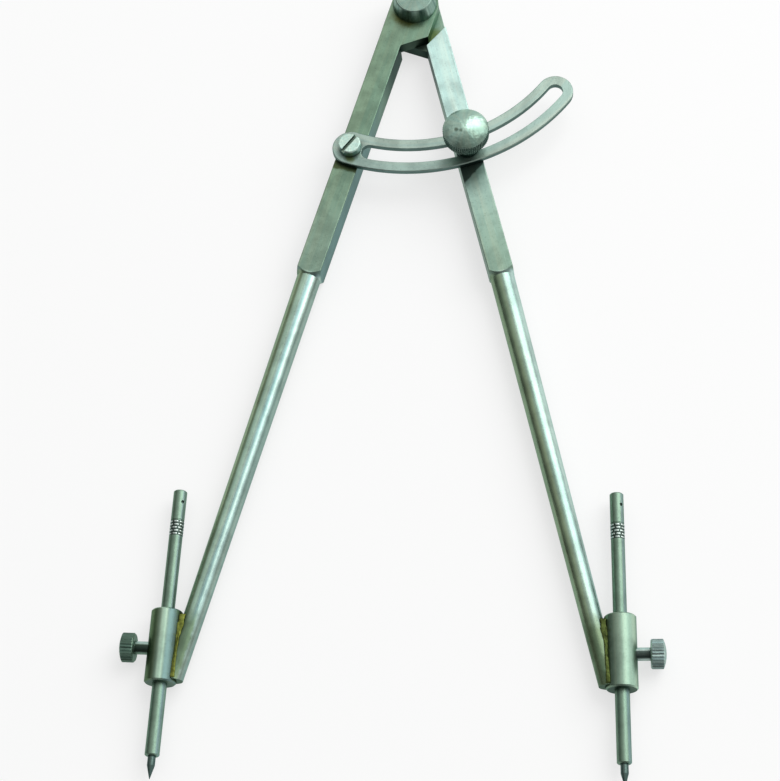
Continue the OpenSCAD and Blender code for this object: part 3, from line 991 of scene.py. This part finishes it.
class DIVIDER_OT_grips(bpy.types.Operator):
    """Add the band of raised grip pads below the ring groove of each scriber"""

    bl_idname = "divider.grips"
    bl_label = "Add the grip bands"

    # Faces of a pad each way, and the sideways shift of the rows as a share of a pad's place
    steps_round = 10
    steps_along = 6
    stagger = 0.18
    stagger_turn = 2.4

    def execute(self, context):
        finish = context.scene.divider_finish
        grip = context.scene.divider_grip
        front = Vector(UP)
        for name in SIDES:
            down = Vector(JOINTS[f"{name}_scriber_slide"]["axis"])
            shank = frame["nodes"][f"{name}_shank"]
            top = Vector(JOINTS[f"{name}_thumb_turn"]["pos_m"]) - down * scriber_height(name)
            mesh = self.pads(grip, self.shank_radius(shank, top, down, grip))
            turn = Matrix((front.cross(down), front, down)).transposed().to_4x4()
            mesh.transform(Matrix.Translation(top) @ turn)
            pads = bpy.data.objects.new(f"{name}_grip_band", mesh)
            context.scene.collection.objects.link(pads)
            material = metal_with_wear_and_shade(
                f"{name} grip steel",
                finish.grip_steel,
                finish,
                scriber_place(name, finish),
                drawn_lines,
                rough=0.34,
                # Painted shade on the pads' sides
                sides=(flanks(UP, 0.4), finish.side_shade),
            )
            mesh.materials.append(material)
            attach(pads, f"{name}_scriber")
        return {"FINISHED"}

    def shank_radius(self, shank, top, down, grip):
        """Radius of the shank at its top, where the pads sit."""
        reach = grip.start + grip.rows * grip.pitch
        radii = [0.0]
        for vertex in shank.data.vertices:
            out = vertex.co - top
            height = out.dot(down)
            if height < reach:
                radii.append((out - down * height).length)
        return max(radii)

    def pads(self, grip, radius):
        """Domed pads in staggered rows round a shank that points along Z."""
        built = bmesh.new()
        share = 2 * math.pi / grip.columns
        for row in range(grip.rows):
            height = grip.start + row * grip.pitch
            stagger = self.stagger * share * math.sin(self.stagger_turn * row)
            for column in range(grip.columns):
                self.pad(built, grip, radius, column * share + stagger, share, height)
        bmesh.ops.recalc_face_normals(built, faces=built.faces)
        for face in built.faces:
            face.smooth = True
        mesh = bpy.data.meshes.new("Grip band")
        built.to_mesh(mesh)
        built.free()
        return mesh

    def pad(self, built, grip, radius, turn, share, height):
        """One domed pad, whose rim sinks into the shank."""
        grid = []
        for row in range(self.steps_along + 1):
            along = 2 * row / self.steps_along - 1
            line = []
            for column in range(self.steps_round + 1):
                across = 2 * column / self.steps_round - 1
                swell = (1 - across**6) * (1 - along**4)
                out = radius - grip.root + (grip.height + grip.root) * swell
                around = turn + 0.5 * across * share * grip.cover
                place = height + 0.5 * along * grip.pad_length
                line.append(built.verts.new((out * math.sin(around), out * math.cos(around), place)))
            grid.append(line)
        for near, far in zip(grid, grid[1:]):
            for column in range(self.steps_round):
                corners = (near[column], far[column], far[column + 1], near[column + 1])
                built.faces.new(corners)


class DIVIDER_OT_braze(bpy.types.Operator):
    """Replace the plain braze fillets with lumpy beads"""

    bl_idname = "divider.braze"
    bl_label = "Make the braze beads"

    def execute(self, context):
        settings = context.scene.divider_braze
        finish = context.scene.divider_finish
        for name, brass in (("left", finish.left_braze), ("right", finish.right_braze)):
            bead = self.bead(context, name, settings)
            bead.data.materials.clear()
            bead.data.materials.append(self.brass(name, brass, finish, settings))
            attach(bead, f"{name}_leg")
            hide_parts(f"{name}_braze")
        return {"FINISHED"}

    def bead(self, context, name, settings):
        """A remeshed copy of the fillet whose outside ripples as it cooled."""
        fillet = frame["nodes"][f"{name}_braze"].data.copy()
        fillet.transform(Matrix.Scale(1 / MM, 4))
        bead = bpy.data.objects.new(f"{name}_braze_bead", fillet)
        context.scene.collection.objects.link(bead)
        remesh = bead.modifiers.new("Even mesh", "REMESH")
        remesh.mode = "VOXEL"
        remesh.voxel_size = settings.voxel / MM
        remesh.use_smooth_shade = True
        smooth = bead.modifiers.new("Melted edges", "SMOOTH")
        smooth.factor = 0.5
        smooth.iterations = settings.melt_steps
        graph = context.evaluated_depsgraph_get()
        melted = bpy.data.meshes.new_from_object(bead.evaluated_get(graph))
        bead.modifiers.clear()
        bead.data = melted
        self.round_crown(melted, Vector(JOINTS[f"{name}_scriber_slide"]["axis"]), settings)
        outward = [vertex.normal.copy() for vertex in melted.vertices]
        for vertex, normal in zip(melted.vertices, outward):
            spot = vertex.co * MM / settings.lump_size
            ripple = noise.noise(spot) + 0.5 * noise.noise(2.3 * spot)
            vertex.co += normal * ripple * settings.lump_height / MM
        melted.transform(Matrix.Scale(MM, 4))
        return bead

    def round_crown(self, mesh, down, settings):
        """Rounds the bead's upper end."""
        shape = bmesh.new()
        shape.from_mesh(mesh)
        limit = min(vertex.co.dot(down) for vertex in shape.verts) + settings.crown / MM
        crown = [vertex for vertex in shape.verts if vertex.co.dot(down) < limit]
        for _ in range(settings.crown_steps):
            bmesh.ops.smooth_vert(
                shape, verts=crown, factor=1.0, use_axis_x=True, use_axis_y=True, use_axis_z=True
            )
        shape.to_mesh(mesh)
        shape.free()

    def brass(self, name, brass, finish, settings):
        """Dull braze with dark clouds, small bright grains, and dirt and painted shade in its pits."""
        paint = Paint(bpy.data.materials.new(f"{name} braze"))
        at = paint.place(ORIGIN, ORIGIN)
        cloud = paint.noise(at, 0.7, 5.0, 0.65)
        grit = paint.noise(at, 2.6, 3.0, 0.6)
        corner = paint.corners(settings.pit_reach, True)
        tone = paint.tint(paint.ramp(cloud, 0.6, 0.35), opaque(brass, 1.25), grey(0.5))
        tone = paint.mix(0.35 * paint.ramp(grit, 0.58, 0.70), tone, opaque(brass, 2.0))
        # Dirt and painted shade in the bead's pits
        tone = paint.mix(0.35 * corner, tone, opaque(finish.dirt_and_shade))
        true = paint.node("NewGeometry", {}, "Normal")
        normal = paint.bump(cloud + 0.5 * grit, settings.grain_depth, true)
        return paint.finish(tone, 0.46 + 0.2 * (grit - 0.5), 0.75, normal)


class DIVIDER_OT_stage(bpy.types.Operator):
    """Add the pale floor, the soft lamp, the even light and the camera"""

    bl_idname = "divider.stage"
    bl_label = "Set the stage"

    def execute(self, context):
        stage = context.scene.divider_stage
        context.scene.view_settings.view_transform = "Standard"
        self.floor(context, stage)
        self.sky(context, stage)
        self.lamp(context, stage)
        self.camera(context, stage)
        return {"FINISHED"}

    def floor(self, context, stage):
        reach = stage.floor_reach
        mesh = bpy.data.meshes.new("Floor")
        corners = [(-reach, -reach, 0), (reach, -reach, 0), (reach, reach, 0), (-reach, reach, 0)]
        mesh.from_pydata(corners, [], [(0, 1, 2, 3)])
        floor = bpy.data.objects.new("Floor", mesh)
        floor.location.z = cad_low.z - stage.floor_gap
        context.scene.collection.objects.link(floor)
        paint = Paint(bpy.data.materials.new("Pale floor"))
        pale = paint.node("BsdfDiffuse", {"Color": opaque(stage.floor_colour)})
        white = paint.node("Emission", {"Color": grey(1.0), "Strength": 1.0})
        seen = [paint.node("LightPath", {}, f"Is {ray} Ray") for ray in SEEN_BY]
        share = stage.floor_white * (seen[0] + seen[1] + seen[2])
        both = paint.node("MixShader", {0: share, 1: pale, 2: white})
        paint.node("OutputMaterial", {"Surface": both})
        mesh.materials.append(paint.owner)

    def sky(self, context, stage):
        """Soft light from all round that fades from the lamp's side to the other."""
        sky = Paint(bpy.data.worlds.new("Even light"))
        context.scene.world = sky.owner
        towards = direction(stage.lamp_azimuth, stage.lamp_elevation)
        along = sky.vector_math("DOT_PRODUCT", sky.coordinates("Generated"), towards, "Value")
        dim_from, bright_from = -0.4, 0.7
        share = sky.ramp(along, dim_from, bright_from)
        tone = sky.mix(share, grey(stage.sky_dim), grey(stage.sky_bright))
        light = sky.node("Background", {"Color": tone, "Strength": 1.0})
        sky.node("OutputWorld", {"Surface": light})

    def lamp(self, context, stage):
        light = bpy.data.lights.new("Soft lamp", "AREA")
        light.shape = "SQUARE"
        light.size = stage.lamp_size
        light.energy = stage.lamp_power
        lamp = bpy.data.objects.new("Soft lamp", light)
        context.scene.collection.objects.link(lamp)
        towards = direction(stage.lamp_azimuth, stage.lamp_elevation)
        lamp.location = Vector(stage.look_at) + towards * stage.lamp_distance
        lamp.rotation_euler = (-towards).to_track_quat("-Z", "Y").to_euler()

    def camera(self, context, stage):
        lens = bpy.data.cameras.new("Photo camera")
        lens.lens = stage.lens
        camera = bpy.data.objects.new("Photo camera", lens)
        context.scene.collection.objects.link(camera)
        back = direction(stage.azimuth, stage.elevation)
        camera.location = Vector(stage.look_at) + back * stage.distance
        level = (-back).to_track_quat("-Z", "Y")
        camera.rotation_euler = (level @ Quaternion(UP, stage.roll)).to_euler()
        context.scene.camera = camera


class DIVIDER_PT_panel(bpy.types.Panel):
    """Lists the steps and settings of the divider"""

    bl_idname = "DIVIDER_PT_panel"
    bl_label = "Hinged divider"
    bl_space_type = "VIEW_3D"
    bl_region_type = "UI"
    bl_category = "Divider"

    def draw(self, context):
        for group in SETTINGS:
            box = self.layout.box()
            settings = getattr(context.scene, group)
            for key in settings.bl_rna.properties.keys():
                if key not in ("rna_type", "name"):
                    box.prop(settings, key)
        for step in OPERATORS:
            self.layout.operator(step.bl_idname)


SETTINGS = {
    "divider_finish": FinishSettings,
    "divider_grip": GripSettings,
    "divider_braze": BrazeSettings,
    "divider_stage": StageSettings,
}
OPERATORS = (
    DIVIDER_OT_legs,
    DIVIDER_OT_arc,
    DIVIDER_OT_fasteners,
    DIVIDER_OT_scribers,
    DIVIDER_OT_grips,
    DIVIDER_OT_braze,
    DIVIDER_OT_stage,
)


def register():
    for group, settings in SETTINGS.items():
        bpy.utils.register_class(settings)
        setattr(bpy.types.Scene, group, bpy.props.PointerProperty(type=settings))
    for step in OPERATORS:
        bpy.utils.register_class(step)
    bpy.utils.register_class(DIVIDER_PT_panel)


def unregister():
    bpy.utils.unregister_class(DIVIDER_PT_panel)
    for step in reversed(OPERATORS):
        bpy.utils.unregister_class(step)
    for group, settings in SETTINGS.items():
        delattr(bpy.types.Scene, group)
        bpy.utils.unregister_class(settings)


def main():
    register()
    bpy.ops.divider.legs()
    bpy.ops.divider.arc()
    bpy.ops.divider.fasteners()
    bpy.ops.divider.scribers()
    bpy.ops.divider.grips()
    bpy.ops.divider.braze()
    bpy.ops.divider.stage()


if __name__ == "__main__":
    main()
